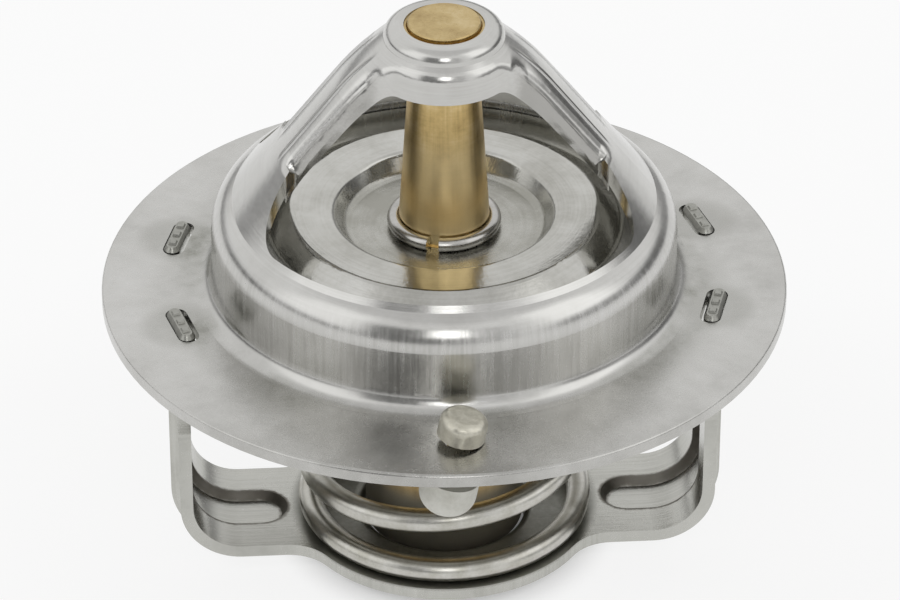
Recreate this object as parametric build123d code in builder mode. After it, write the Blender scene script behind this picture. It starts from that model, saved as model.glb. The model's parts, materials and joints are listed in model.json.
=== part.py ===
from build123d import *
import os
from math import atan, atan2, cos, degrees, radians, sin, sqrt, tan

os.makedirs("parts", exist_ok=True)

# Engine thermostat, millimetres, +Z up.
# The origin is on the thermostat's axis, in the plane of the flange's underside.

# --- driving dimensions ------------------------------------------------------------

# Upper frame: flange, neck, dome, two bridge legs and hub are one stamping.
sheet = 1.05                  # stainless sheet of both frames
flange_radius = 28.0
flange_edge_round = 0.25      # rolled-over top edge of the blank
neck_radius = 18.95           # outside of the drawn neck
neck_height = 6.25            # where the neck turns into the dome
root_fillet = 1.5             # outside fillet between neck and flange
dome_radius = 3.0             # outside rounding of the dome
dome_angle = 65.0             # how far the dome turns inwards before the legs rise
sill_inset = 0.37             # width of the lip left between the dome's crease and the windows
window_corner = 3.7           # windows' corners at the foot of the legs
window_hub_corner = 2.2       # windows' corners at the hub
leg_half_width = 3.5
leg_straight_radius = 8.7     # where the straight leg starts to curve into the hub
leg_drop = 4.9498             # how far below the hub's top that point lies
turn_round = 1.2              # rounding of the edges turned down along the windows
turn_depth = 1.42407          # depth of those turned edges, square to the sheet
foot_inset = 4.01785          # dome's crease to the notch where the turned edges end
foot_lap = 0.4                # the bridge's legs run this far over the dome's lip
hub_height = 25.1             # top of the hub's cap
hub_hole = 3.25
cap_flat = 0.55               # flat ring round the hub's hole
cap_radius = 4.87             # foot of the cap
cap_depth = 1.15
skirt_radius = 5.7

# Piston and its brass seat in the hub.
piston_radius = 1.5
seat_button_height = 0.25     # button above the hub's cap
seat_button_radius = 2.95
seat_rim_drop = 0.12          # swaged rim, below the cap's top
seat_edge = 0.1
seat_shoulder_radius = 3.8
seat_length = 3.1             # from the cap's top to the seat's lower end
seat_bore_depth = 2.1

# Valve disc, dished.
disc_sheet = 0.8
disc_floor = 6.28             # top of the dished middle
disc_floor_radius = 8.05
disc_wall_width = 1.0
disc_round = 0.7              # roundings of the disc's bends
disc_step = 1.67              # the raised ring stands this far above the floor
disc_ring_radius = 12.5       # outer edge of the raised ring
disc_slope_width = 1.9
disc_rim_drop = 1.35          # the sealing rim lies this far under the raised ring

# Brass guide of the wax element, with its snap ring.
guide_top_gap = 0.4           # guide's nose to the piston seat, closed
guide_nose_radius = 2.9
guide_nose_length = 2.0
guide_root_radius = 3.68
groove_depth = 0.23
ring_wire = 1.15
ring_groove_gap = 0.05
ring_opening = 13.0           # degrees between the ring's ends
ring_opening_at = 254.0       # direction of that opening
guide_boss_radius = 5.5
guide_flange_radius = 6.6
guide_flange_thickness = 1.4
crimp_height = 0.68           # lip of the cup over the guide's flange

# Inside the element.
backup_thickness = 0.45
chamber_mouth_radius = 4.9
chamber_depth = 3.2
diaphragm_thickness = 0.9
cup_wall = 0.6
cup_radius = 6.6
cup_shoulder = 0.6
cup_corner = 0.8
cup_drop = 1.3                # cup's bottom below the plate's top, closed

# Lower frame.
strap_depth = 22.4            # flange underside to the strap's underside
strap_half_span = 22.2        # outer faces of the legs
strap_width = 11.1
strap_bend = 4.0              # inside radius of the bends
plate_radius = 12.6
plate_blend = 4.0
leg_shoulder_width = 17.6     # width of each leg under the flange
leg_shoulder_height = 5.0
leg_taper_height = 5.0
leg_corner = 2.5              # roundings of the leg's side outline
collar_length = 1.2           # below the strap's underside
collar_wall = 0.95            # thinned a little by the drawing
collar_round = 0.9
bead_width = 4.6              # stiffening bead, pressed outwards
bead_depth = 0.7
bead_draft = 35.0             # slope of the bead's sides
bead_inner_end = 15.5         # middle of the bead's rounded end, from the axis
bead_top = 7.0                # the bead fades out this far under the flange
tab_length = 4.6
tab_width = 1.35              # spread a little by the staking
tab_spacing = 13.0
tab_offset = 0.8              # middle of each pair, behind the legs' middle
tab_height = 0.4              # above the flange's top
tab_twist = 16.0              # the tabs are twisted along the flange's rim
tab_draft = 30.0              # slope of the staked tabs' edges
tab_clearance = 0.08          # tab in its slot
tab_play = 0.25               # further gap on the slot's inner side
tab_ridge = 0.15              # height of the staking ridges
tab_ridge_count = 3
tab_ridge_step = 1.3

# Main spring.
wire_radius = 1.0
spring_base_radius = 11.25    # to the middle of the wire
spring_top_radius = 10.45
spring_open_turns = 4.0
spring_flat_part = 0.6        # share of a turn that lies flat on the plate
spring_start_angle = 119.0

# Jiggle pin in the flange.
jiggle_neck_gap = 0.73        # neck's fillet to the pin's head
jiggle_direction = 269.0
jiggle_lean = 11.0            # degrees, the loose pin leans in its hole
jiggle_hole_radius = 1.2
jiggle_stem_radius = 0.75
jiggle_head_radius = 1.92
jiggle_head_height = 1.9
jiggle_weight_radius = 2.3
jiggle_weight_height = 3.3
jiggle_weight_gap = 1.9       # free lift before the weight meets the flange
jiggle_weight_round = 1.8
jiggle_hollow = 0.5           # depth of the hollow in the weight's top
jiggle_hollow_radius = 1.4
jiggle_head_round = 0.7
jiggle_slack = 0.03           # head's edge above the flange

# Stroke and clearances.
valve_stroke = 8.5            # disc lift when the engine is hot
piston_hold = 3.25            # piston left in the guide at full stroke
running_gap = 0.05            # piston in guide
fit_gap = 0.02                # parts pressed or crimped together
rim_gap = 0.12                # valve disc to its seat
cup_gap = 0.15                # cup in the lower frame's collar

# Small edges.
edge_break = 0.3              # chamfers of turned parts
edge_round = 0.4              # roundings of pressed parts


# --- places worked out from them ----------------------------------------------------

neck_bore = neck_radius - sheet
dome_centre = neck_radius - dome_radius
crease_radius = dome_centre + dome_radius * cos(radians(dome_angle))
crease_height = neck_height + dome_radius * sin(radians(dome_angle))
sill_radius = crease_radius - sill_inset
foot_radius = crease_radius - foot_inset
slope = atan2(hub_height - leg_drop - crease_height, crease_radius - leg_straight_radius)
turn_drop = turn_depth / cos(slope)


def leg_height(radius):
    """Height of the straight leg's outer face at a distance from the axis."""
    return crease_height + (crease_radius - radius) * tan(slope)


disc_ring_height = disc_floor + disc_step
disc_rim_height = disc_ring_height - disc_rim_drop
seat_arc_rise = max(disc_rim_height - neck_height, 0.0)
disc_radius = dome_centre + sqrt((dome_radius - sheet - rim_gap) ** 2 - seat_arc_rise ** 2)

seat_bottom = hub_height - seat_length
seat_bore_top = seat_bottom + seat_bore_depth
guide_top = seat_bottom - guide_top_gap
ring_middle = disc_floor + ring_wire / 2
groove_radius = guide_root_radius - groove_depth
ring_radius = groove_radius + ring_groove_gap + ring_wire / 2
groove_top = disc_floor + ring_wire + ring_groove_gap
disc_bottom = disc_floor - disc_sheet
disc_hole = guide_root_radius + running_gap
guide_flange_top = disc_bottom - crimp_height
guide_bottom = guide_flange_top - guide_flange_thickness
chamber_top = guide_bottom + chamber_depth
backup_top = guide_top - valve_stroke - piston_hold
plug_top = backup_top - backup_thickness
piston_bore = piston_radius + running_gap
cup_rim_inside = guide_flange_radius + fit_gap
cup_rim_radius = cup_rim_inside + cup_wall
cup_seat = guide_bottom - diaphragm_thickness
cup_inside = cup_radius - cup_wall
collar_bottom = -strap_depth - collar_length
plate_top = -strap_depth + sheet
cup_bottom = plate_top - cup_drop
collar_bore = cup_radius + cup_gap
leg_middle = strap_half_span - sheet / 2
spring_bottom = plate_top + wire_radius + fit_gap
spring_top = disc_ring_height - disc_sheet - wire_radius - fit_gap
jiggle_offset = neck_radius + root_fillet + jiggle_neck_gap + jiggle_head_radius
jiggle_x = jiggle_offset * cos(radians(jiggle_direction))
jiggle_y = jiggle_offset * sin(radians(jiggle_direction))
tab_margin = 2 * tab_clearance + tab_play
tab_places = [(side, Location((side * leg_middle, tab_offset + end * tab_spacing / 2),
                              side * end * tab_twist)) for side in (-1, 1) for end in (-1, 1)]


def save(piece, name):
    """Label a finished piece and write its own STEP file."""
    piece.part.label = name
    export_step(piece.part, f"parts/{name}.step")


# --- upper frame ----------------------------------------------------------------------

inner_dome = dome_radius - sheet
inner_arc_end = (dome_centre + inner_dome * cos(radians(dome_angle)),
                 neck_height + inner_dome * sin(radians(dome_angle)))


def under(radius):
    """Point on the sheet's inner side, opposite a point on the straight cone."""
    return (radius - sheet * sin(slope), leg_height(radius) - sheet * cos(slope))


# Plan of the two windows between the legs.
with BuildSketch(Plane.XY) as windows:
    Circle(sill_radius)
    Circle(skirt_radius, mode=Mode.SUBTRACT)
    Rectangle(2 * flange_radius, 2 * leg_half_width, mode=Mode.SUBTRACT)
    outer_corners = windows.vertices().filter_by(lambda v: v.X ** 2 + v.Y ** 2 > foot_radius ** 2)
    fillet(outer_corners, window_corner)
    hub_corners = windows.vertices().filter_by(lambda v: v.X ** 2 + v.Y ** 2 < leg_straight_radius ** 2)
    fillet(hub_corners, window_hub_corner)

with BuildPart() as bridge:
    # Hub and legs as one block: cap, bell-shaped shoulder and straight cone.
    with BuildSketch(Plane.XZ):
        with BuildLine():
            cap_top = Line((hub_hole, hub_height), (hub_hole + cap_flat, hub_height))
            cap_foot = (cap_radius, hub_height - cap_depth)
            TangentArc(cap_top @ 1, cap_foot, tangent=(1, 0))
            bell_start = (leg_straight_radius, leg_height(leg_straight_radius))
            TangentArc(bell_start, cap_foot, tangent=(-cos(slope), sin(slope)))
            foot = (foot_radius + foot_lap, leg_height(foot_radius + foot_lap))
            Line(bell_start, foot)
            Line(foot, (foot[0], foot[1] - turn_drop))
            low_start = (bell_start[0], bell_start[1] - turn_drop)
            Line((foot[0], foot[1] - turn_drop), low_start)
            low_end = (cap_foot[0], cap_foot[1] - turn_drop)
            TangentArc(low_start, low_end, tangent=(-cos(slope), sin(slope)))
            Polyline(low_end, (hub_hole, low_end[1]), cap_top @ 0)
        make_face()
    revolve(axis=Axis.Z)
    extrude(windows.sketch, amount=hub_height, mode=Mode.SUBTRACT)
    upright = bridge.faces().filter_by(lambda f: abs(f.normal_at().Z) < 0.01)
    window_walls = upright.filter_by(lambda f: abs(f.center().Y) > hub_hole)
    tops = bridge.faces().filter_by(lambda f: f.normal_at().Z > 0.05)
    fillet([edge for edge in window_walls.edges() if edge in tops.edges()], turn_round)

    # Hollow underside, one sheet thick all round.
    with BuildSketch(Plane.XY) as bridge_inside:
        Circle(crease_radius)
        add(windows.sketch, mode=Mode.SUBTRACT)
        offset(amount=-sheet)
    with BuildPart(mode=Mode.PRIVATE) as hollow:
        with BuildSketch(Plane.XZ):
            with BuildLine():
                cap_inside = Line((0, hub_height - sheet), (cap_radius - sheet, hub_height - sheet))
                bell_inside = (cap_radius - sheet / 2, hub_height - cap_depth - sheet)
                Line(cap_inside @ 1, bell_inside)
                TangentArc(under(leg_straight_radius), bell_inside, tangent=(-cos(slope), sin(slope)))
                Polyline(under(leg_straight_radius), under(crease_radius), (crease_radius, 0),
                         (0, 0), (0, hub_height - sheet))
            make_face()
        revolve(axis=Axis.Z)
        extrude(bridge_inside.sketch, amount=hub_height, mode=Mode.INTERSECT)
    add(hollow.part, mode=Mode.SUBTRACT)

with BuildPart() as upper_frame:
    # Flange, neck, dome and the lip that the bridge's feet stand on.
    with BuildSketch(Plane.XZ) as ring_section:
        with BuildLine():
            rim = Line((flange_radius, 0), (flange_radius, sheet))
            top = Line(rim @ 1, (neck_radius + root_fillet, sheet))
            RadiusArc(top @ 1, (neck_radius, sheet + root_fillet), root_fillet)
            Line((neck_radius, sheet + root_fillet), (neck_radius, neck_height))
            dome = CenterArc((dome_centre, neck_height), dome_radius, 0, dome_angle)
            cone = Line(dome @ 1, (foot_radius, leg_height(foot_radius)))
            end = Line(cone @ 1, under(foot_radius))
            inner_cone = Line(end @ 1, under(crease_radius))
            Line(inner_cone @ 1, inner_arc_end)
            CenterArc((dome_centre, neck_height), inner_dome, 0, dome_angle)
            bore = Line((neck_bore, neck_height), (neck_bore, sheet + root_fillet))
            RadiusArc(bore @ 1, (neck_radius + root_fillet, 0), -(root_fillet + sheet))
            Line((neck_radius + root_fillet, 0), rim @ 0)
        make_face()
        fillet(ring_section.vertices().group_by(Axis.X)[-1].sort_by(Axis.Y)[-1], flange_edge_round)
    revolve(axis=Axis.Z)
    extrude(windows.sketch.moved(Location((0, 0, neck_height))), amount=hub_height,
            mode=Mode.SUBTRACT)
    add(bridge.part)

    # Slots for the lower frame's tabs, and the hole of the jiggle pin.
    with BuildSketch(Plane.XY):
        for side, place in tab_places:
            with Locations(place * Location((-side * tab_play / 2, 0))):
                SlotOverall(tab_length + tab_margin, tab_width + tab_margin, rotation=90)
        with Locations((jiggle_x, jiggle_y)):
            Circle(jiggle_hole_radius)
    extrude(amount=sheet, mode=Mode.SUBTRACT)

save(upper_frame, "upper_frame")


# --- piston seat and piston -----------------------------------------------------------

with BuildPart() as piston_seat:
    # Turned brass, its rim swaged over the hub's hole, with a blind bore for the piston.
    with BuildSketch(Plane.XZ):
        with BuildLine():
            body = hub_hole - fit_gap
            rim_top = hub_height - seat_rim_drop
            under_cap = hub_height - sheet - fit_gap
            Polyline((0, hub_height + seat_button_height),
                     (seat_button_radius - seat_edge, hub_height + seat_button_height),
                     (seat_button_radius, hub_height + seat_button_height - seat_edge),
                     (seat_button_radius, rim_top - seat_edge),
                     (seat_button_radius + seat_edge, rim_top),
                     (body, rim_top), (body, under_cap), (seat_shoulder_radius, under_cap),
                     (seat_shoulder_radius, seat_bottom + edge_break),
                     (seat_shoulder_radius - edge_break, seat_bottom),
                     (piston_radius + fit_gap, seat_bottom),
                     (piston_radius + fit_gap, seat_bore_top), (0, seat_bore_top), close=True)
        make_face()
    revolve(axis=Axis.Z)

save(piston_seat, "piston_seat")

with BuildPart() as piston:
    with BuildSketch(Plane.XY.offset(backup_top)):
        Circle(piston_radius)
    extrude(amount=seat_bore_top - backup_top)
    chamfer(piston.edges().filter_by(GeomType.CIRCLE), edge_break)

save(piston, "piston")


# --- wax element ----------------------------------------------------------------------

with BuildPart() as guide:
    # Tapered nose, groove of the snap ring, boss, flange, bore and cone-shaped chamber.
    with BuildSketch(Plane.XZ):
        with BuildLine():
            Polyline((piston_bore, guide_top), (guide_nose_radius - edge_break, guide_top),
                     (guide_nose_radius, guide_top - edge_break),
                     (guide_nose_radius, guide_top - guide_nose_length),
                     (guide_root_radius, groove_top), (groove_radius, groove_top),
                     (groove_radius, disc_floor), (guide_root_radius, disc_floor),
                     (guide_root_radius, disc_bottom), (guide_boss_radius, disc_bottom),
                     (guide_boss_radius, guide_flange_top), (guide_flange_radius, guide_flange_top),
                     (guide_flange_radius, guide_bottom), (chamber_mouth_radius, guide_bottom),
                     (piston_bore, chamber_top), close=True)
        make_face()
    revolve(axis=Axis.Z)

save(guide, "guide")

with BuildPart() as snap_ring:
    # Open ring of round wire in the guide's groove, above the valve disc.
    start = ring_opening_at + ring_opening / 2
    with BuildSketch(Plane(origin=(0, 0, 0), x_dir=(cos(radians(start)), sin(radians(start)), 0),
                           z_dir=(sin(radians(start)), -cos(radians(start)), 0))):
        with Locations((ring_radius, ring_middle)):
            Circle(ring_wire / 2)
    revolve(axis=Axis.Z, revolution_arc=360 - ring_opening)

save(snap_ring, "snap_ring")

with BuildPart() as valve_disc:
    # Dished disc: sunk middle, raised ring, sloping side and flat sealing rim.
    wall_end = disc_floor_radius + disc_wall_width
    slope_end = disc_ring_radius + disc_slope_width
    with BuildSketch(Plane.XZ) as disc_section:
        with BuildLine():
            Polyline((disc_hole, disc_floor), (disc_floor_radius, disc_floor),
                     (wall_end, disc_ring_height), (disc_ring_radius, disc_ring_height),
                     (slope_end, disc_rim_height), (disc_radius, disc_rim_height),
                     (disc_radius, disc_rim_height - disc_sheet),
                     (slope_end - 0.5 * disc_sheet, disc_rim_height - disc_sheet),
                     (disc_ring_radius - 0.5 * disc_sheet, disc_ring_height - disc_sheet),
                     (wall_end + 0.6 * disc_sheet, disc_ring_height - disc_sheet),
                     (disc_floor_radius + 0.6 * disc_sheet, disc_bottom),
                     (disc_hole, disc_bottom), close=True)
        make_face()
        bends = disc_section.vertices().filter_by(lambda v: disc_hole + 1 < v.X < disc_radius - 1)
        fillet(bends, disc_round)
    revolve(axis=Axis.Z)

save(valve_disc, "valve_disc")

with BuildPart() as wax_cup:
    # Drawn brass cup, its lip crimped over the guide's flange.
    with BuildSketch(Plane.XZ) as cup_section:
        with BuildLine():
            Polyline((0, cup_bottom), (cup_radius, cup_bottom), (cup_radius, cup_seat - cup_shoulder),
                     (cup_rim_radius, cup_seat), (cup_rim_radius, disc_bottom),
                     (guide_boss_radius + fit_gap, disc_bottom),
                     (guide_boss_radius + fit_gap, guide_flange_top + fit_gap),
                     (cup_rim_inside, guide_flange_top + fit_gap), (cup_rim_inside, cup_seat),
                     (cup_inside, cup_seat), (cup_inside, cup_bottom + cup_wall),
                     (0, cup_bottom + cup_wall), close=True)
        make_face()
        outer_corner = cup_section.vertices().group_by(Axis.Y)[0].sort_by(Axis.X)[-1]
        fillet(outer_corner, cup_corner)
        lip_corner = cup_section.vertices().group_by(Axis.Y)[-1].sort_by(Axis.X)[-1]
        fillet(lip_corner, edge_round)
    revolve(axis=Axis.Z)

save(wax_cup, "wax_cup")

with BuildPart() as wax_charge:
    with BuildSketch(Plane.XY.offset(cup_bottom + cup_wall)):
        Circle(cup_inside - fit_gap)
    extrude(amount=cup_seat - cup_bottom - cup_wall)
    chamfer(wax_charge.edges().group_by(Axis.Z)[0], cup_corner / 2)

save(wax_charge, "wax_charge")

with BuildPart() as diaphragm:
    with BuildSketch(Plane.XY.offset(cup_seat)):
        Circle(guide_flange_radius)
    extrude(amount=diaphragm_thickness)

save(diaphragm, "diaphragm")

with BuildPart() as transfer_paste:
    # Soft filling of the guide's cone-shaped chamber.
    with BuildSketch(Plane.XZ):
        with BuildLine():
            Polyline((0, guide_bottom), (chamber_mouth_radius - fit_gap, guide_bottom),
                     (piston_bore - fit_gap, chamber_top), (0, chamber_top), close=True)
        make_face()
    revolve(axis=Axis.Z)

save(transfer_paste, "transfer_paste")

with BuildPart() as rubber_plug:
    with BuildSketch(Plane.XY.offset(chamber_top)):
        Circle(piston_bore - fit_gap)
    extrude(amount=plug_top - chamber_top)

save(rubber_plug, "rubber_plug")

with BuildPart() as backup_disc:
    with BuildSketch(Plane.XY.offset(plug_top)):
        Circle(piston_bore - fit_gap)
    extrude(amount=backup_thickness)

save(backup_disc, "backup_disc")


# --- lower frame ----------------------------------------------------------------------

with BuildPart() as lower_frame:
    # Strap bent into a U.
    strap_span = 2 * strap_half_span
    with BuildSketch(Plane.XZ) as strap_section:
        with Locations((0, -strap_depth)):
            Rectangle(strap_span, strap_depth, align=(Align.CENTER, Align.MIN))
        fillet(strap_section.vertices().group_by(Axis.Y)[0], strap_bend + sheet)
    extrude(amount=flange_radius, both=True)
    with BuildSketch(Plane.XZ) as strap_inside:
        with Locations((0, plate_top)):
            Rectangle(strap_span - 2 * sheet, strap_depth, align=(Align.CENTER, Align.MIN))
        fillet(strap_inside.vertices().group_by(Axis.Y)[0], strap_bend)
    extrude(amount=flange_radius, both=True, mode=Mode.SUBTRACT)

    # Side view of the legs: strap width, widening to shoulders under the flange.
    bend_start = strap_half_span - strap_bend - sheet
    taper_bottom = -leg_shoulder_height - leg_taper_height
    with BuildSketch(Plane.YZ, mode=Mode.PRIVATE) as leg_outline:
        with Locations((0, -strap_depth)):
            Rectangle(2 * flange_radius, 2 * strap_depth, align=(Align.CENTER, Align.MIN))
        with BuildLine():
            shoulder = leg_shoulder_width / 2
            Polyline((strap_width / 2, -strap_depth), (strap_width / 2, taper_bottom),
                     (shoulder, -leg_shoulder_height), (shoulder, 0), (-shoulder, 0),
                     (-shoulder, -leg_shoulder_height), (-strap_width / 2, taper_bottom),
                     (-strap_width / 2, -strap_depth), close=True)
        make_face(mode=Mode.SUBTRACT)
        corners = leg_outline.vertices().filter_by(lambda v: 1 - strap_depth < v.Y < -1)
        fillet(corners, leg_corner)
    waste = extrude(leg_outline.sketch.moved(Location((bend_start, 0, 0))),
                    amount=strap_half_span, mode=Mode.PRIVATE)
    add(waste, mode=Mode.SUBTRACT)
    add(waste.mirror(Plane.YZ), mode=Mode.SUBTRACT)

    # Plan of the plate: a round middle running into two arms.
    with BuildSketch(Plane.XY.offset(-strap_depth)) as plate_plan:
        Circle(plate_radius)
        Rectangle(2 * bend_start, strap_width)
        fillet(plate_plan.vertices().filter_by(lambda v: abs(v.X) < plate_radius), plate_blend)
        with Locations((strap_half_span, 0), (-strap_half_span, 0)):
            Rectangle(2 * (strap_half_span - bend_start), 2 * flange_radius)
    extrude(amount=strap_depth, mode=Mode.INTERSECT)

    # Stiffening beads, pressed outwards along the arms, round the bends and up the legs.
    leg_inside = strap_half_span - sheet
    floor_width = bead_width - 2 * bead_depth * tan(radians(bead_draft))
    wall = sheet * tan(radians(45 - bead_draft / 2))
    for side in (-1, 1):
        with BuildLine(Plane.XZ) as bead_path:
            FilletPolyline((side * bead_inner_end, plate_top), (side * leg_inside, plate_top),
                           (side * leg_inside, -bead_top), radius=strap_bend)
        for grow, drop, mode in ((wall, sheet, Mode.ADD), (0, 0, Mode.SUBTRACT)):
            top_width = bead_width + 2 * grow
            bottom_width = floor_width + 2 * grow
            with BuildSketch(Plane(origin=bead_path.line @ 0, x_dir=(0, 1, 0),
                                   z_dir=bead_path.line % 0)):
                with BuildLine():
                    inwards = 1 if side > 0 else -1
                    Polyline((-top_width / 2, -inwards * drop), (top_width / 2, -inwards * drop),
                             (bottom_width / 2, -inwards * (drop + bead_depth)),
                             (-bottom_width / 2, -inwards * (drop + bead_depth)), close=True)
                make_face()
            sweep(path=bead_path.line, mode=mode)
            with Locations((side * bead_inner_end, 0, plate_top - drop - bead_depth / 2)):
                Cone(bottom_width / 2, top_width / 2, bead_depth, mode=mode)
            with Locations(Location((side * (leg_inside + drop + bead_depth / 2), 0, -bead_top),
                                    (0, -side * 90, 0))):
                Cone(bottom_width / 2, top_width / 2, bead_depth, mode=mode)

    # Collar round the wax cup, drawn down from the plate.
    collar_outside = collar_bore + collar_wall
    collar_root = collar_outside + sheet
    with BuildSketch(Plane.XY.offset(-strap_depth)):
        Circle(collar_root)
    extrude(amount=sheet, mode=Mode.SUBTRACT)
    with BuildSketch(Plane.XZ) as collar_section:
        with BuildLine():
            Polyline((collar_bore, collar_bottom), (collar_outside, collar_bottom),
                     (collar_outside, -strap_depth), (collar_root, -strap_depth),
                     (collar_root, plate_top), (collar_bore, plate_top), close=True)
        make_face()
        fillet(collar_section.vertices().group_by(Axis.Y)[-1].sort_by(Axis.X)[0], collar_round)
        fillet(collar_section.vertices().group_by(Axis.Y)[1].sort_by(Axis.X)[0], edge_round)
    revolve(axis=Axis.Z)

    # Tabs: up through the flange's slots, twisted in them and staked down in ridges.
    with BuildSketch(Plane.XY) as tabs:
        for side, place in tab_places:
            with Locations(place):
                SlotOverall(tab_length, tab_width, rotation=90)
    extrude(amount=sheet)
    extrude(tabs.sketch.moved(Location((0, 0, sheet))), amount=tab_height, taper=tab_draft)
    with BuildSketch(Plane.XY.offset(sheet + tab_height)):
        for side, place in tab_places:
            with Locations(place):
                with GridLocations(1, tab_ridge_step, 1, tab_ridge_count):
                    Rectangle(tab_width / 2, tab_ridge_step / 2)
    extrude(amount=tab_ridge, taper=tab_draft)

save(lower_frame, "lower_frame")


# --- main spring ----------------------------------------------------------------------

with BuildPart() as main_spring:
    # Flat end turn on the plate, open turns drawing in slightly, closed turn under the disc.
    closed_rise = 2 * wire_radius + fit_gap
    open_rise = spring_top - spring_bottom - closed_rise
    open_pitch = open_rise / spring_open_turns
    taper_angle = degrees(atan((spring_top_radius - spring_base_radius) / open_rise))
    open_start = spring_start_angle + spring_flat_part * 360
    flat_turn = CenterArc((0, 0, spring_bottom), spring_base_radius, spring_start_angle,
                          spring_flat_part * 360)
    open_turns = Helix(open_pitch, open_rise, spring_base_radius, cone_angle=taper_angle)
    open_turns = open_turns.rotate(Axis.Z, open_start).moved(Location((0, 0, spring_bottom)))
    joint = open_turns @ 1
    upper_turn = Helix(closed_rise, closed_rise, spring_top_radius)
    upper_turn = upper_turn.rotate(Axis.Z, degrees(atan2(joint.Y, joint.X)))
    upper_turn = upper_turn.moved(Location((0, 0, joint.Z)))
    spring_path = Wire([flat_turn, open_turns, upper_turn])
    with BuildSketch(Plane(origin=spring_path @ 0, z_dir=spring_path % 0)):
        Circle(wire_radius)
    sweep(path=spring_path)

save(main_spring, "main_spring")


# --- jiggle pin -----------------------------------------------------------------------

# The pin's own axis leans; distances along it start at the middle of the flange's sheet.
lean = radians(jiggle_lean)
jiggle_axis = Plane(origin=(jiggle_x, jiggle_y, sheet / 2), x_dir=(cos(lean), 0, -sin(lean)),
                    z_dir=(sin(lean), 0, cos(lean)))
head_seat = (sheet / 2 + jiggle_slack + jiggle_head_radius * sin(lean)) / cos(lean)
weight_top = -jiggle_weight_gap - (sheet / 2 + jiggle_weight_radius * sin(lean)) / cos(lean)
weight_bottom = weight_top - jiggle_weight_height
stem_end = weight_top - jiggle_weight_height / 2

with BuildPart() as jiggle_pin:
    with BuildSketch(jiggle_axis.offset(stem_end)):
        Circle(jiggle_stem_radius)
    extrude(amount=head_seat - stem_end)
    with BuildSketch(jiggle_axis.offset(head_seat)):
        Circle(jiggle_head_radius)
    extrude(amount=jiggle_head_height)
    head_top = jiggle_pin.faces().sort_by(Axis.Z)[-1]
    fillet(head_top.edges(), jiggle_head_round)

save(jiggle_pin, "jiggle_pin")

with BuildPart() as jiggle_weight:
    # Round-ended weight with a shallow hollow on top, pressed on the stem.
    weight_plane = Plane(origin=jiggle_axis.origin, x_dir=jiggle_axis.x_dir,
                         z_dir=-Vector(0, 1, 0))
    with BuildSketch(weight_plane) as weight_section:
        with BuildLine():
            bore_radius = jiggle_stem_radius + fit_gap
            Polyline((bore_radius, weight_top - jiggle_hollow), (jiggle_hollow_radius, weight_top),
                     (jiggle_weight_radius, weight_top), (jiggle_weight_radius, weight_bottom),
                     (0, weight_bottom), (0, stem_end), (bore_radius, stem_end), close=True)
        make_face()
        rim_corners = weight_section.vertices().group_by(Axis.X)[-1].sort_by(Axis.Y)
        fillet(rim_corners[0], jiggle_weight_round)
        fillet(rim_corners[-1], edge_round)
    revolve(axis=Axis(jiggle_axis.origin, jiggle_axis.z_dir))

save(jiggle_weight, "jiggle_weight")
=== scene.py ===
import json
from math import cos, radians, sin

import bpy
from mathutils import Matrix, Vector


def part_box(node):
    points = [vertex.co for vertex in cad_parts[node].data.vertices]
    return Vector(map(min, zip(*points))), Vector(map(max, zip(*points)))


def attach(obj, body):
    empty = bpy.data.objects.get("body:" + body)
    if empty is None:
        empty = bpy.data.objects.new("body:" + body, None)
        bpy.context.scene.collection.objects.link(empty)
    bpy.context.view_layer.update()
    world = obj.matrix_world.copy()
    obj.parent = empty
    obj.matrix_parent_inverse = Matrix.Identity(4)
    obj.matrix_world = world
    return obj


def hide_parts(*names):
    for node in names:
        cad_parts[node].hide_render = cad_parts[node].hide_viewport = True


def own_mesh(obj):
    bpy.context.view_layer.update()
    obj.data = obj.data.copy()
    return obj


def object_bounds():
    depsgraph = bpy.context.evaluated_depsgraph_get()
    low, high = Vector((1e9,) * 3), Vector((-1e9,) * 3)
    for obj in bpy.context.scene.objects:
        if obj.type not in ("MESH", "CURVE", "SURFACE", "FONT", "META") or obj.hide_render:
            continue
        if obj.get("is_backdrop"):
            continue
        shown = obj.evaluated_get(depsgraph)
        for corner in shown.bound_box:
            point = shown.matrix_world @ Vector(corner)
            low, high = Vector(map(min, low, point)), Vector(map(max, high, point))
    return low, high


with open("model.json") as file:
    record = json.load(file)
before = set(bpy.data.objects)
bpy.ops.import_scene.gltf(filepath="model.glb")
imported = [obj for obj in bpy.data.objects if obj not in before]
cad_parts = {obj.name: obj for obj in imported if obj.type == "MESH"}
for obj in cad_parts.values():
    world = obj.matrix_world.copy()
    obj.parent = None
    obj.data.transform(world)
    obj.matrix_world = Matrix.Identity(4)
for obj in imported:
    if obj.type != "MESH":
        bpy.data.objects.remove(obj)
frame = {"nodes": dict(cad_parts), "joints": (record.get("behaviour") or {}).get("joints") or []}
nodes = frame["nodes"]
low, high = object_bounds()
MM = 0.001                                      # places in the materials are in millimetres


# --- shader arithmetic -------------------------------------------------------------------------

class Graph:
    """The shader nodes of a material or of the world."""

    def __init__(self, tree):
        self.tree = tree

    def add(self, kind, settings=None, inputs=None):
        """New node: its settings are made first, then its sockets are set or linked."""
        node = self.tree.nodes.new(kind)
        for name, value in (settings or {}).items():
            if name == "stops":
                place_stops(node.color_ramp.elements, value)
            else:
                setattr(node, name, value)
        for key, value in (inputs or {}).items():
            self.feed(node.inputs[key], value)
        return Field(self, node.outputs[0])

    def feed(self, socket, value):
        """Links a field to a socket, or gives the socket a plain value."""
        if isinstance(value, Field):
            self.tree.links.new(value.socket, socket)
        else:
            socket.default_value = value

    def math(self, operation, *values, clamp=False):
        """Math node on fields and plain numbers."""
        settings = {"operation": operation, "use_clamp": clamp}
        return self.add("ShaderNodeMath", settings, dict(enumerate(values)))


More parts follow.
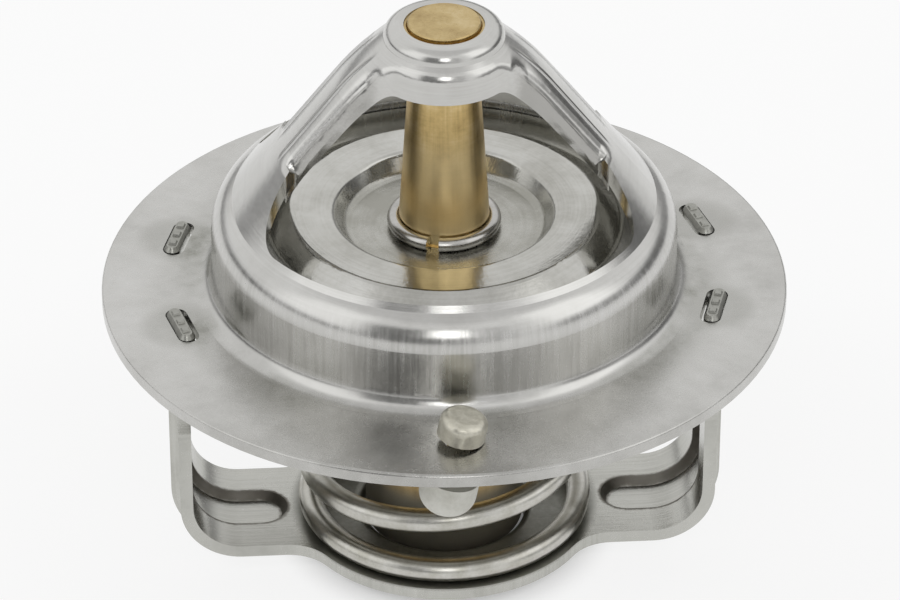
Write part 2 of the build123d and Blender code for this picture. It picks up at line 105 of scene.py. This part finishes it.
def place_stops(elements, stops):
    """Gives a colour ramp its (position, (r, g, b)) stops."""
    while len(elements) < len(stops):
        elements.new(0.5)
    for element, (position, colour) in zip(elements, stops):
        element.position = position
        element.color = (*colour, 1.0)


class Field:
    """A number, vector or colour that runs through a node tree."""

    def __init__(self, graph, socket):
        self.graph = graph
        self.socket = socket

    def output(self, key):
        """Another output of the same node."""
        return Field(self.graph, self.socket.node.outputs[key])

    def math(self, operation, *others):
        return self.graph.math(operation, self, *others)

    def __add__(self, other):
        return self.math("ADD", other)

    def __sub__(self, other):
        return self.math("SUBTRACT", other)

    def __rsub__(self, other):
        return self.graph.math("SUBTRACT", other, self)

    def __mul__(self, other):
        return self.math("MULTIPLY", other)

    def __pow__(self, other):
        return self.math("POWER", other)

    def __neg__(self):
        return self.math("MULTIPLY", -1.0)

    def __abs__(self):
        return self.math("ABSOLUTE")

    __radd__ = __add__
    __rmul__ = __mul__

    def at_least(self, other):
        return self.math("MAXIMUM", other)

    def at_most(self, other):
        return self.math("MINIMUM", other)

    def clamp(self):
        """This field held between 0 and 1."""
        return self.graph.math("MULTIPLY", self, 1.0, clamp=True)

    def step(self, start, end, before=0.0, after=1.0):
        """Smooth change from one level to another while this field runs from start to end."""
        sockets = dict(enumerate((self, start, end, before, after)))
        return self.graph.add("ShaderNodeMapRange", {"interpolation_type": "SMOOTHSTEP"}, sockets)

    def band(self, start, full, fade, end):
        """1 while this field is between full and fade, and 0 outside start and end."""
        return self.step(start, full) * self.step(end, fade)

    def tint(self, stops):
        """Colour from (position, (r, g, b)) stops."""
        return self.graph.add("ShaderNodeValToRGB", {"stops": stops}, {0: self})

    def blend(self, colour, share):
        """This colour turning into another by a share from 0 to 1."""
        sockets = {0: share, 6: self, 7: (*colour, 1.0)}    # 6 and 7 are the colours to mix
        return self.graph.add("ShaderNodeMix", {"data_type": "RGBA"}, sockets).output(2)


def vary(level, *parts):
    """A level pushed up and down by (field, amount) parts, whose fields run from 0 to 1."""
    for field, amount in parts:
        level = level + (field - 0.5) * amount
    return level


class Surface(Graph):
    """A new material, with its coordinates in millimetres of the shared frame."""

    def __init__(self, name):
        self.material = bpy.data.materials.new(name)
        self.material.use_nodes = True
        super().__init__(self.material.node_tree)
        self.shader = self.tree.nodes["Principled BSDF"]
        metres = self.add("ShaderNodeTexCoord").output("Object")
        self.place = self.add("ShaderNodeVectorMath", {"operation": "SCALE"},
                              {0: metres, "Scale": 1.0 / MM})
        split = self.add("ShaderNodeSeparateXYZ", inputs={0: self.place})
        self.x, self.y, self.z = (split.output(axis) for axis in "XYZ")
        self.radius = (self.x * self.x + self.y * self.y) ** 0.5
        self.angle = self.y.math("ARCTAN2", self.x)
        self.relief = None

    def vector(self, x, y, z):
        """Coordinates put together from three fields."""
        return self.add("ShaderNodeCombineXYZ", inputs={0: x, 1: y, 2: z})

    def turned(self, along, across, up):
        """Coordinates stretched round the axis, for marks that run round or up a turned part."""
        return self.vector(self.angle * along, self.radius * across, self.z * up)

    def noise(self, scale, detail=3.0, rough=0.55, at=None, warp=0.0):
        """Soft lumps that run from 0 to 1; scale is how many lie along a millimetre."""
        return self.add("ShaderNodeTexNoise", inputs={
            "Vector": at or self.place, "Scale": scale, "Detail": detail,
            "Roughness": rough, "Distortion": warp})

    def flecks(self, scale):
        """Small round dents, 0 at their middles."""
        return self.add("ShaderNodeTexVoronoi", inputs={"Vector": self.place, "Scale": scale})

    def bump(self, height, strength, depth=1.0):
        """Relief on top of the earlier ones; a height of 1 stands for depth in millimetres."""
        sockets = {"Strength": strength, "Distance": depth * MM, "Height": height}
        if self.relief:
            sockets["Normal"] = self.relief
        self.relief = self.add("ShaderNodeBump", inputs=sockets)
        self.feed(self.shader.inputs["Normal"], self.relief)

    def finish(self, colour, rough, metallic=0.0):
        """Feeds the shader and gives the finished material."""
        self.feed(self.shader.inputs["Base Color"], colour)
        self.feed(self.shader.inputs["Roughness"], rough)
        self.feed(self.shader.inputs["Metallic"], metallic)
        return self.material


# --- places on the part, in millimetres --------------------------------------------------------

SHEET = 1.05                                    # thickness of both frames
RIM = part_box("upper_frame")[1].x / MM           # flange's radius
NECK_BORE = 17.9
NECK_TOP = 6.25                                 # where the neck turns into the dome
DOME_TOP = 9.0                                  # crease between the dome and the legs
HUB_RADIUS = 5.7
LEG_FOOT = 13.2                                 # end of the legs' turned-down edges
LEG_HALF_WIDTH = 3.5
LEG_RIDGE = 1.3                                 # bend lines along the legs' backs
SHOULDER_WIDTH = 2.0                            # the backs slope down this far past the bends

DISC_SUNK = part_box("valve_disc")[1].z / MM - 1.3    # the dished middle lies under this height,
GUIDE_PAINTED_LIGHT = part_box("guide")[1].z / MM - 6.6        # the guide is painted paler, as painted light, under this one,
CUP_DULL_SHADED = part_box("wax_cup")[0].z / MM + 6.15       # and the cup duller, partly with painted shade, under this one

STRAP_FACE = 22.2                               # outer faces of the lower frame's legs
STRAP_BOTTOM = -22.4
PLATE_TOP = STRAP_BOTTOM + SHEET
PLATE_RADIUS = 12.6
COLLAR_BORE = 6.75
BEAD_END = 15.5                                 # middle of the beads' rounded ends
BEAD_TOP = 7.0                                  # the beads fade out this far under the flange
BEAD_HALF = 2.3
TAB_X = 21.7                                    # middles of the tabs that stand in the flange
TAB_Y = 6.5
TAB_OFFSET = 0.8                                # each pair stands this far behind the middle
TAB_GRIME_FULL = 2.0                            # grime is thick this near a tab's middle
TAB_GRIME_END = 3.75                            # and gone this far from it
SMUDGE_AND_SHADE_END = RIM - 4.0                          # smudges and painted shade by the neck end here
FRONT_EDGE = 10.0 - RIM                         # painted shade darkens the flange from here to its front


# --- colours -----------------------------------------------------------------------------------

FRAME_TONES = ((0.18, (0.40, 0.395, 0.375)), (0.50, (0.55, 0.545, 0.525)), (0.85, (0.66, 0.655, 0.64)))
STRAP_TONES = ((0.18, (0.33, 0.33, 0.30)), (0.50, (0.50, 0.498, 0.465)), (0.85, (0.62, 0.617, 0.585)))
DISC_TONES = ((0.15, (0.34, 0.335, 0.30)), (0.50, (0.52, 0.515, 0.485)), (0.85, (0.66, 0.655, 0.64)))
GUIDE_TONES = ((0.15, (0.44, 0.31, 0.13)), (0.50, (0.66, 0.49, 0.22)), (0.85, (0.82, 0.66, 0.38)))
SEAT_TONES = ((0.15, (0.38, 0.27, 0.12)), (0.50, (0.55, 0.42, 0.205)), (0.85, (0.69, 0.56, 0.33)))
CUP_TONES = ((0.15, (0.48, 0.32, 0.12)), (0.50, (0.74, 0.53, 0.24)), (0.85, (0.86, 0.67, 0.36)))
PIN_TONES = ((0.25, (0.44, 0.42, 0.34)), (0.60, (0.62, 0.60, 0.52)), (0.90, (0.74, 0.72, 0.65)))
WEIGHT_TONES = ((0.25, (0.50, 0.49, 0.43)), (0.55, (0.66, 0.655, 0.60)), (0.85, (0.78, 0.775, 0.73)))
SPRING_TONES = ((0.25, (0.36, 0.35, 0.29)), (0.75, (0.68, 0.67, 0.64)))
RING_TONES = ((0.25, (0.36, 0.35, 0.33)), (0.75, (0.60, 0.59, 0.57)))
PISTON_TONES = ((0.25, (0.50, 0.50, 0.49)), (0.75, (0.68, 0.68, 0.67)))
WAX_TONES = ((0.30, (0.62, 0.52, 0.33)), (0.70, (0.74, 0.65, 0.46)))
PASTE_TONES = ((0.30, (0.55, 0.50, 0.38)), (0.70, (0.66, 0.61, 0.48)))
DIAPHRAGM_TONES = ((0.30, (0.02, 0.02, 0.02)), (0.70, (0.045, 0.045, 0.045)))
PLUG_TONES = ((0.30, (0.02, 0.02, 0.02)), (0.70, (0.05, 0.05, 0.05)))
PLASTIC_TONES = ((0.30, (0.72, 0.72, 0.70)), (0.70, (0.82, 0.82, 0.80)))
FLOOR_TONES = ((0.30, (0.90, 0.90, 0.90)), (0.70, (0.93, 0.93, 0.93)))

BEND_PAINTED_SHADE = (0.20, 0.20, 0.18)
# grime round the tabs; by the neck it is partly painted shade
FLANGE_GRIME_AND_SHADE = (0.25, 0.25, 0.22)
BEAD_GRIME_AND_SHADE = (0.075, 0.058, 0.038)
WORN_TAB = (0.24, 0.24, 0.215)
PLATE_PAINTED_SHADE = (0.17, 0.17, 0.15)
DULL_SHADED_BRASS = (0.26, 0.255, 0.22)
PAINTED_LIGHT_BRASS = (0.95, 0.76, 0.42)
WHITE = (1.0, 1.0, 1.0, 1.0)                    # with alpha, as a colour socket takes it


# --- materials ---------------------------------------------------------------------------------

def frame_steel():
    """Drawn stainless sheet: satin flange, streaked neck, polished dome and legs."""
    s = Surface("drawn_stainless")
    blotch = s.noise(0.09, 4, 0.6)
    grain = s.noise(2.2, 4, 0.7)
    fine = s.noise(9.0, 2, 0.6)
    mottle = s.noise(0.7, 5, 0.72)
    streaks = s.noise(1.0, 4, 0.62, s.turned(42.0, 0.05, 0.10))
    hoops = s.noise(1.0, 3, 0.6, s.turned(0.9, 5.5, 5.5))
    crinkle = s.noise(0.40, 1, 0.4, s.vector(s.x, s.y * 0.3, s.z), 0.3)

    # Where each finish lies, from 0 to 1.
    flange = s.z.step(SHEET + 0.45, SHEET + 0.15)
    # Painted shade: the flange is painted darker towards its front.
    painted_front_shade = s.y.step(FRONT_EDGE, FRONT_EDGE - 6.0) * flange
    neck = s.z.band(SHEET + 0.55, SHEET + 1.55, NECK_TOP + 1.15, NECK_TOP + 2.05)
    neck = neck * s.radius.step(NECK_BORE - 1.5, NECK_BORE - 0.6)
    raised = s.z.step(NECK_TOP + 0.35, NECK_TOP + 1.95)
    leg = abs(s.x).step(HUB_RADIUS - 0.7, HUB_RADIUS + 0.8) * s.z.step(DOME_TOP + 0.4, DOME_TOP + 1.4)
    leg = leg * s.radius.step(LEG_FOOT + 0.4, LEG_FOOT - 0.6)
    across = abs(s.y)
    walls = across.band(LEG_HALF_WIDTH - 0.4, LEG_HALF_WIDTH - 0.15,
                        LEG_HALF_WIDTH + 0.2, LEG_HALF_WIDTH + 0.7) * leg
    bend = abs(across - LEG_RIDGE).step(0.4, 0.0) * leg
    shoulder = (across - LEG_RIDGE).at_least(0.0).at_most(SHOULDER_WIDTH)

    shade = vary(0.505, (blotch, 0.9), (grain, 0.12), (streaks, neck * 0.85), (mottle, flange * 0.35),
                 (hoops, raised * 0.25), (crinkle, walls * 0.3))
    # Painted shade: the legs' turned-down walls and the flange's front are painted darker.
    shade = shade - walls * 0.38 - painted_front_shade * 0.15
    # Painted shade: a dark line is painted in each bend crease along the legs.
    colour = shade.tint(FRAME_TONES).blend(BEND_PAINTED_SHADE, bend * 0.45)
    rough = vary(0.20, (grain, 0.12), (blotch, 0.12)) + flange * 0.07 - raised * 0.02
    rough = rough + neck * (streaks - 0.35) * 0.30

    # Grime round the tabs, and smudges by the foot of the neck that are partly painted shade, where
    # the flange mirrors the dark neck.
    to_tab_squared = (abs(s.x) - TAB_X) ** 2.0 + (abs(s.y - TAB_OFFSET) - TAB_Y) ** 2.0
    grime = to_tab_squared.step(TAB_GRIME_END ** 2, TAB_GRIME_FULL ** 2) * (mottle * 1.2).clamp() * 0.5
    smudge_and_shade = s.radius.step(SMUDGE_AND_SHADE_END, SMUDGE_AND_SHADE_END - 3.0) * blotch.step(0.42, 0.58)
    smudge_and_shade = smudge_and_shade * (mottle * 1.3 - 0.15).clamp() * 0.85
    colour = colour.blend(FLANGE_GRIME_AND_SHADE, ((grime + smudge_and_shade) * flange).clamp())

    s.bump(streaks * neck + hoops * raised * 0.25, 0.3, 0.035)
    s.bump(mottle * flange, 0.35, 0.03)
    s.bump(crinkle * walls, 0.7, 0.30)
    s.bump(shoulder * shoulder * leg * -0.16 - bend * 0.08, 1.0)
    s.bump(fine * 0.5 + grain, 0.30, 0.012)
    s.bump(blotch, 0.5, 0.09)
    return s.finish(colour, rough.clamp(), 1.0)


def strap_steel():
    """Rolled strip of the lower frame, with marks along the strap."""
    s = Surface("strip_stainless")
    blotch = s.noise(0.14, 4, 0.6)
    grain = s.noise(2.4, 4, 0.7)
    fine = s.noise(9.0, 2, 0.6)
    rolled = s.noise(1.0, 3, 0.6, s.vector(s.x * 0.15, s.y * 6.0, s.z * 0.15))
    colour = vary(0.49, (blotch, 0.5), (grain, 0.16), (rolled, 0.4)).tint(STRAP_TONES)
    rough = vary(0.25, (grain, 0.14), (blotch, 0.14))

    # Grime and painted shade, like the shade in a recess, on the sloping sides of the pressed beads,
    # seen from inside.
    inner = (BEAD_END - abs(s.x)).at_least(0.0)
    upper = (s.z + BEAD_TOP).at_least(0.0)
    reach = vary((inner * inner + upper * upper + s.y * s.y) ** 0.5, (grain, 0.5))
    side = reach.band(BEAD_HALF - 0.85, BEAD_HALF - 0.35, BEAD_HALF, BEAD_HALF + 0.35)
    inside = s.z.step(STRAP_BOTTOM, STRAP_BOTTOM + 0.2)
    inside = inside * abs(s.x).step(STRAP_FACE - 0.1, STRAP_FACE - 0.25)
    bead_grime_and_shade = (side * inside * (blotch + 0.45)).clamp()
    colour = colour.blend(BEAD_GRIME_AND_SHADE, bead_grime_and_shade * 0.75)
    rough = rough + bead_grime_and_shade * 0.3

    # Worn grey tabs, and grime between their ridges.
    tab = s.z.step(SHEET - 0.35, SHEET + 0.05) * (grain * 0.8 + 0.15)
    colour = colour.blend(WORN_TAB, tab)
    rough = rough + tab * 0.15

    # Painted shade: the plate inside the spring is painted dark, where it mirrors the shaded
    # underside, and so is the collar's bore, which would mirror the lit floor.
    painted_plate_shade = s.radius.step(PLATE_RADIUS + 0.6, PLATE_RADIUS - 0.6)
    painted_plate_shade = painted_plate_shade * s.z.step(PLATE_TOP - 0.25, PLATE_TOP - 0.05) * (grain * 0.5 + 0.65)
    painted_plate_shade = painted_plate_shade.at_least(s.radius.step(COLLAR_BORE + 0.55, COLLAR_BORE + 0.25))
    colour = colour.blend(PLATE_PAINTED_SHADE, (painted_plate_shade * 0.85).clamp())
    rough = rough + painted_plate_shade * 0.12

    s.bump(rolled, 0.3, 0.03)
    s.bump(fine * 0.5 + grain, 0.35, 0.015)
    s.bump(blotch, 0.5, 0.10)
    return s.finish(colour, rough.clamp(), 1.0)


def disc_steel():
    """Valve disc: satin, with faint turned rings and water marks."""
    s = Surface("disc_stainless")
    blotch = s.noise(0.16, 5, 0.62)
    grain = s.noise(2.6, 4, 0.7)
    hoops = s.noise(1.0, 3, 0.6, s.turned(1.2, 4.5, 2.0))
    sunk = s.z.step(DISC_SUNK + 0.25, DISC_SUNK - 0.25)
    # The sunk middle is painted darker, as painted shade in the dish.
    shade = vary(0.45, (blotch, 1.0), (grain, 0.12), (hoops, 0.25)) - sunk * 0.16
    rough = vary(0.15, (grain, 0.10), (blotch, 0.14)) + sunk * 0.12
    s.bump(hoops, 0.3, 0.015)
    s.bump(grain, 0.35, 0.015)
    s.bump(blotch, 0.5, 0.10)
    return s.finish(shade.tint(DISC_TONES), rough.clamp(), 1.0)


def brass(name, tones, rough_level, streak=0.5, dull_shaded_below=None, painted_light_below=None):
    """Turned or drawn brass, a little tarnished, with marks along its length."""
    s = Surface(name)
    blotch = s.noise(0.35, 4, 0.65)
    grain = s.noise(3.0, 4, 0.7)
    lines = s.noise(1.0, 3, 0.6, s.turned(14.0, 0.6, 0.14))
    rings = s.noise(1.0, 3, 0.6, s.turned(0.8, 3.0, 5.0))
    colour = vary(0.465, (blotch, 1.3), (grain, 0.25), (lines, streak), (rings, 0.25)).tint(tones)
    rough = vary(rough_level, (grain, 0.14), (lines, 0.14))
    # Low down the brass is painted dull and dark: partly tarnish, partly painted shade where it lies
    # in shadow.
    if dull_shaded_below is not None:
        dull_shade = s.z.step(dull_shaded_below + 1.5, dull_shaded_below - 1.0)
        colour = colour.blend(DULL_SHADED_BRASS, dull_shade * 0.9)
        rough = rough + dull_shade * 0.15
    # Low down the brass is painted paler: painted light for the brighter reflection there.
    if painted_light_below is not None:
        colour = colour.blend(PAINTED_LIGHT_BRASS, s.z.step(painted_light_below + 2.0, painted_light_below - 2.0) * 0.7)
    s.bump(lines + rings * 0.6, 0.35, 0.03)
    s.bump(grain, 0.35, 0.015)
    return s.finish(colour, rough.clamp(), 1.0)


def wire(name, tones, rough_level):
    """Drawn wire with fine die marks and small scuffs."""
    s = Surface(name)
    blotch = s.noise(0.5, 4, 0.6)
    grain = s.noise(4.0, 3, 0.7)
    drawn = s.noise(1.0, 3, 0.6, s.turned(1.0, 7.0, 6.0))
    colour = vary(0.505, (blotch, 0.7), (grain, 0.15), (drawn, 0.15)).tint(tones)
    rough = vary(rough_level, (grain, 0.10), (drawn, 0.04))
    s.bump(drawn, 0.2, 0.01)
    s.bump(grain, 0.3, 0.01)
    return s.finish(colour, rough.clamp(), 1.0)


def pin_metal():
    """Dull cream-coloured plating of the jiggle pin, with dents."""
    s = Surface("plated_pin")
    grain = s.noise(3.5, 4, 0.7)
    colour = vary(0.5, (grain, 0.6), (s.noise(0.8, 3), 0.4)).tint(PIN_TONES)
    rough = vary(0.34, (grain, 0.2))
    s.bump(s.flecks(1.1), 0.5, 0.12)
    s.bump(grain, 0.4, 0.04)
    return s.finish(colour, rough.clamp(), 0.85)


def weight_stuff():
    """Matt off-white weight."""
    s = Surface("weight")
    grain = s.noise(3.0, 4, 0.7)
    colour = vary(0.5, (grain, 0.4), (s.noise(0.6, 3, 0.6), 0.6)).tint(WEIGHT_TONES)
    rough = vary(0.5, (grain, 0.2))
    s.bump(grain, 0.4, 0.03)
    return s.finish(colour, rough.clamp(), 0.25)


def soft_stuff(name, tones, rough_level):
    """Rubber, wax or plastic inside the element."""
    s = Surface(name)
    grain = s.noise(1.5, 4, 0.65)
    rough = vary(rough_level, (grain, 0.2))
    s.bump(grain, 0.4, 0.05)
    return s.finish(grain.tint(tones), rough.clamp())


LOOKS = {
    "upper_frame": frame_steel(),
    "lower_frame": strap_steel(),
    "valve_disc": disc_steel(),
    "piston_seat": brass("seat_brass", SEAT_TONES, 0.30, streak=0.2),
    "guide": brass("guide_brass", GUIDE_TONES, 0.40, painted_light_below=GUIDE_PAINTED_LIGHT),
    "wax_cup": brass("cup_brass", CUP_TONES, 0.42, dull_shaded_below=CUP_DULL_SHADED),
    "snap_ring": wire("ring_wire", RING_TONES, 0.24),
    "main_spring": wire("spring_wire", SPRING_TONES, 0.30),
    "piston": wire("piston_steel", PISTON_TONES, 0.12),
    "jiggle_pin": pin_metal(),
    "jiggle_weight": weight_stuff(),
    "wax_charge": soft_stuff("wax", WAX_TONES, 0.5),
    "transfer_paste": soft_stuff("paste", PASTE_TONES, 0.4),
    "diaphragm": soft_stuff("diaphragm_rubber", DIAPHRAGM_TONES, 0.6),
    "rubber_plug": soft_stuff("plug_rubber", PLUG_TONES, 0.6),
    "backup_disc": soft_stuff("white_plastic", PLASTIC_TONES, 0.35),
}

SHARP_EDGE = 32                                 # degrees; a turned or pressed edge stays crisp
SHARP_WIRE = 60                                 # a wire has no edges but its cut ends


def select_only(obj):
    bpy.ops.object.select_all(action="DESELECT")
    bpy.context.view_layer.objects.active = obj
    obj.select_set(True)


def dress(obj, material, angle=SHARP_EDGE):
    """One material all over, smooth except at real edges."""
    obj.data.materials.clear()
    obj.data.materials.append(material)
    select_only(obj)
    bpy.ops.object.shade_smooth_by_angle(angle=radians(angle))
    obj.select_set(False)


for name, material in LOOKS.items():
    dress(nodes[name], material)


# --- main spring: a copy of its coils, hung on the frame ---------------------------------------

def spring_piece():
    """Copy of the spring, hung on the frame in place of the part; how far the valve's stroke would
    squash it is worked out, but not applied.
    """
    piece = bpy.data.objects.new("spring_coils", nodes["main_spring"].data.copy())
    bpy.context.scene.collection.objects.link(piece)
    select_only(piece)
    bpy.ops.object.mode_set(mode="EDIT")
    bpy.ops.mesh.select_all(action="SELECT")
    bpy.ops.mesh.remove_doubles(threshold=0.001 * MM)
    bpy.ops.object.mode_set(mode="OBJECT")
    dress(piece, LOOKS["main_spring"], SHARP_WIRE)
    seat = Vector((0, 0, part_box("main_spring")[0].z))
    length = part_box("main_spring")[1].z - seat.z
    stroke = next(joint for joint in frame["joints"] if joint["name"] == "valve_slide")["range_m"][1]
    keep = 1.0 - stroke / length
    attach(piece, "frame")
    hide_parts("main_spring")
    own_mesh(piece)


spring_piece()


# --- floor, lights and room --------------------------------------------------------------------

FLOOR_SIZE = 6.0
FLOOR_GLOW = 0.84                               # share of plain white in the floor as it is seen
HIDDEN_GLOW = 0.15                              # the same under the part, where no light falls
GLOW_FROM = 15.0                                # millimetres from the axis
HIDDEN_WITHIN = 9.0
LIGHT_WIDTH = 0.30
LIGHT_HEIGHT = 0.40
LIGHT_WATTS = 0.9


def floor_material():
    """Pale matt floor that reads as white, and keeps the part's shadow."""
    s = Surface("pale_floor")
    s.finish(s.noise(0.05, 3, 0.5).tint(FLOOR_TONES), 0.9)
    path = s.add("ShaderNodeLightPath")
    seen = path.output("Is Camera Ray").at_least(path.output("Is Glossy Ray"))
    seen = seen.at_least(path.output("Is Transmission Ray"))
    # Under the part the white glow is turned down: a painted shadow.
    glow_with_painted_shadow = s.radius.step(GLOW_FROM, HIDDEN_WITHIN, FLOOR_GLOW, HIDDEN_GLOW)
    white = s.add("ShaderNodeEmission", inputs={"Color": WHITE})
    matt = Field(s, s.shader.outputs[0])
    mixed = s.add("ShaderNodeMixShader", inputs={0: seen * glow_with_painted_shadow, 1: matt, 2: white})
    s.feed(s.tree.nodes["Material Output"].inputs["Surface"], mixed)
    return s.material


bpy.ops.mesh.primitive_plane_add(size=FLOOR_SIZE, location=(0, 0, low.z))
floor = bpy.context.object
floor.name = "floor"
floor.data.materials.append(floor_material())
floor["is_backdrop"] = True


def soft_light(name, place):
    """Rectangular soft light that points at the part, and isn't mirrored in it."""
    data = bpy.data.lights.new(name, "AREA")
    data.shape = "RECTANGLE"
    data.size = LIGHT_WIDTH
    data.size_y = LIGHT_HEIGHT
    data.energy = LIGHT_WATTS
    lamp = bpy.data.objects.new(name, data)
    bpy.context.scene.collection.objects.link(lamp)
    lamp.location = place
    lamp.rotation_euler = (-Vector(place)).to_track_quat("-Z", "Y").to_euler()
    lamp.visible_glossy = False


soft_light("left_light", (-0.55, -0.10, 0.50))
soft_light("right_light", (0.60, -0.05, 0.50))


def room_light():
    """Studio as the metal reflects it: bright sides, a dark front with one lamp, plain back."""
    world = bpy.data.worlds.new("studio")
    bpy.context.scene.world = world
    world.use_nodes = True
    room = Graph(world.node_tree)
    direction = room.add("ShaderNodeTexCoord").output("Generated")
    split = room.add("ShaderNodeSeparateXYZ", inputs={0: direction})
    side, depth, height = (split.output(axis) for axis in "XYZ")
    path = room.add("ShaderNodeLightPath")
    camera_ray, diffuse_ray, glossy_ray, clear_ray = (
        path.output("Is %s Ray" % kind) for kind in ("Camera", "Diffuse", "Glossy", "Transmission"))

    # Bearings are in degrees, from 0 at the front to 90 at the right and -90 at the left.
    # Heights are sines: 0 is level and 1 overhead. The horizon lies higher on the right.
    bearing = side.math("ARCTAN2", -depth).math("DEGREES")
    turn = abs(bearing)
    lift = bearing.step(-30, 30, 0.0, 0.14)
    below_top = height.step(0.60, 0.74, 1.0, 0.0)

    side_box = turn.band(38, 54, 82, 98) * height.band(0.10, 0.30, 0.80, 0.94)
    gap = turn.band(86, 104, 118, 135) * below_top * (height - lift).step(0.18, 0.08)
    front_left = bearing.band(-46, -36, -6, 2) * below_top
    front_right = bearing.band(-6, 2, 24, 34) * below_top
    lamp = abs(bearing + 2).step(10, 7) * height.band(0.28, 0.38, 0.60, 0.72)
    top = height.step(0.80, 0.95)
    horizon = (height - lift).step(0.24, 0.06) * turn.step(40, 60)

    level = 0.95 + side_box * bearing.step(-30, 30, 0.30, 0.48)
    level = level * (1 - 0.72 * front_left) * (1 - 0.32 * front_right)
    level = level * (1 - 0.55 * gap) * (1 - 0.20 * top) * (1 - 0.62 * horizon)
    level = level + 2.6 * lamp
    plain = camera_ray.at_least(clear_ray).at_least(0.65 * diffuse_ray)
    background = room.tree.nodes["Background"]
    room.feed(background.inputs["Color"], WHITE)
    room.feed(background.inputs["Strength"], plain.at_least(glossy_ray * level))


room_light()


# --- camera ------------------------------------------------------------------------------------

CAMERA_DISTANCE = 0.420
CAMERA_ELEVATION = radians(33.35)
CAMERA_AZIMUTH = radians(-3.8)
IMAGE_WIDTH = 900
IMAGE_HEIGHT = 600
FOCAL_PIXELS = 5132.0
SENSOR_WIDTH = 36.0
AIM = Vector((0, 0, SHEET * MM))
AIM_PIXEL = (444.2, 277.3)

back = Vector((cos(CAMERA_ELEVATION) * sin(CAMERA_AZIMUTH),
               -cos(CAMERA_ELEVATION) * cos(CAMERA_AZIMUTH),
               sin(CAMERA_ELEVATION)))
camera_data = bpy.data.cameras.new("camera")
camera_data.sensor_width = SENSOR_WIDTH
camera_data.lens = FOCAL_PIXELS / IMAGE_WIDTH * SENSOR_WIDTH
camera_data.shift_x = (IMAGE_WIDTH / 2 - AIM_PIXEL[0]) / IMAGE_WIDTH
camera_data.shift_y = (AIM_PIXEL[1] - IMAGE_HEIGHT / 2) / IMAGE_WIDTH
camera_data.clip_start = 0.01
camera = bpy.data.objects.new("camera", camera_data)
bpy.context.scene.collection.objects.link(camera)
camera.location = AIM + back * CAMERA_DISTANCE
camera.rotation_euler = (-back).to_track_quat("-Z", "Y").to_euler()
bpy.context.scene.camera = camera
bpy.context.scene.view_settings.view_transform = "Standard"

low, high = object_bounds()
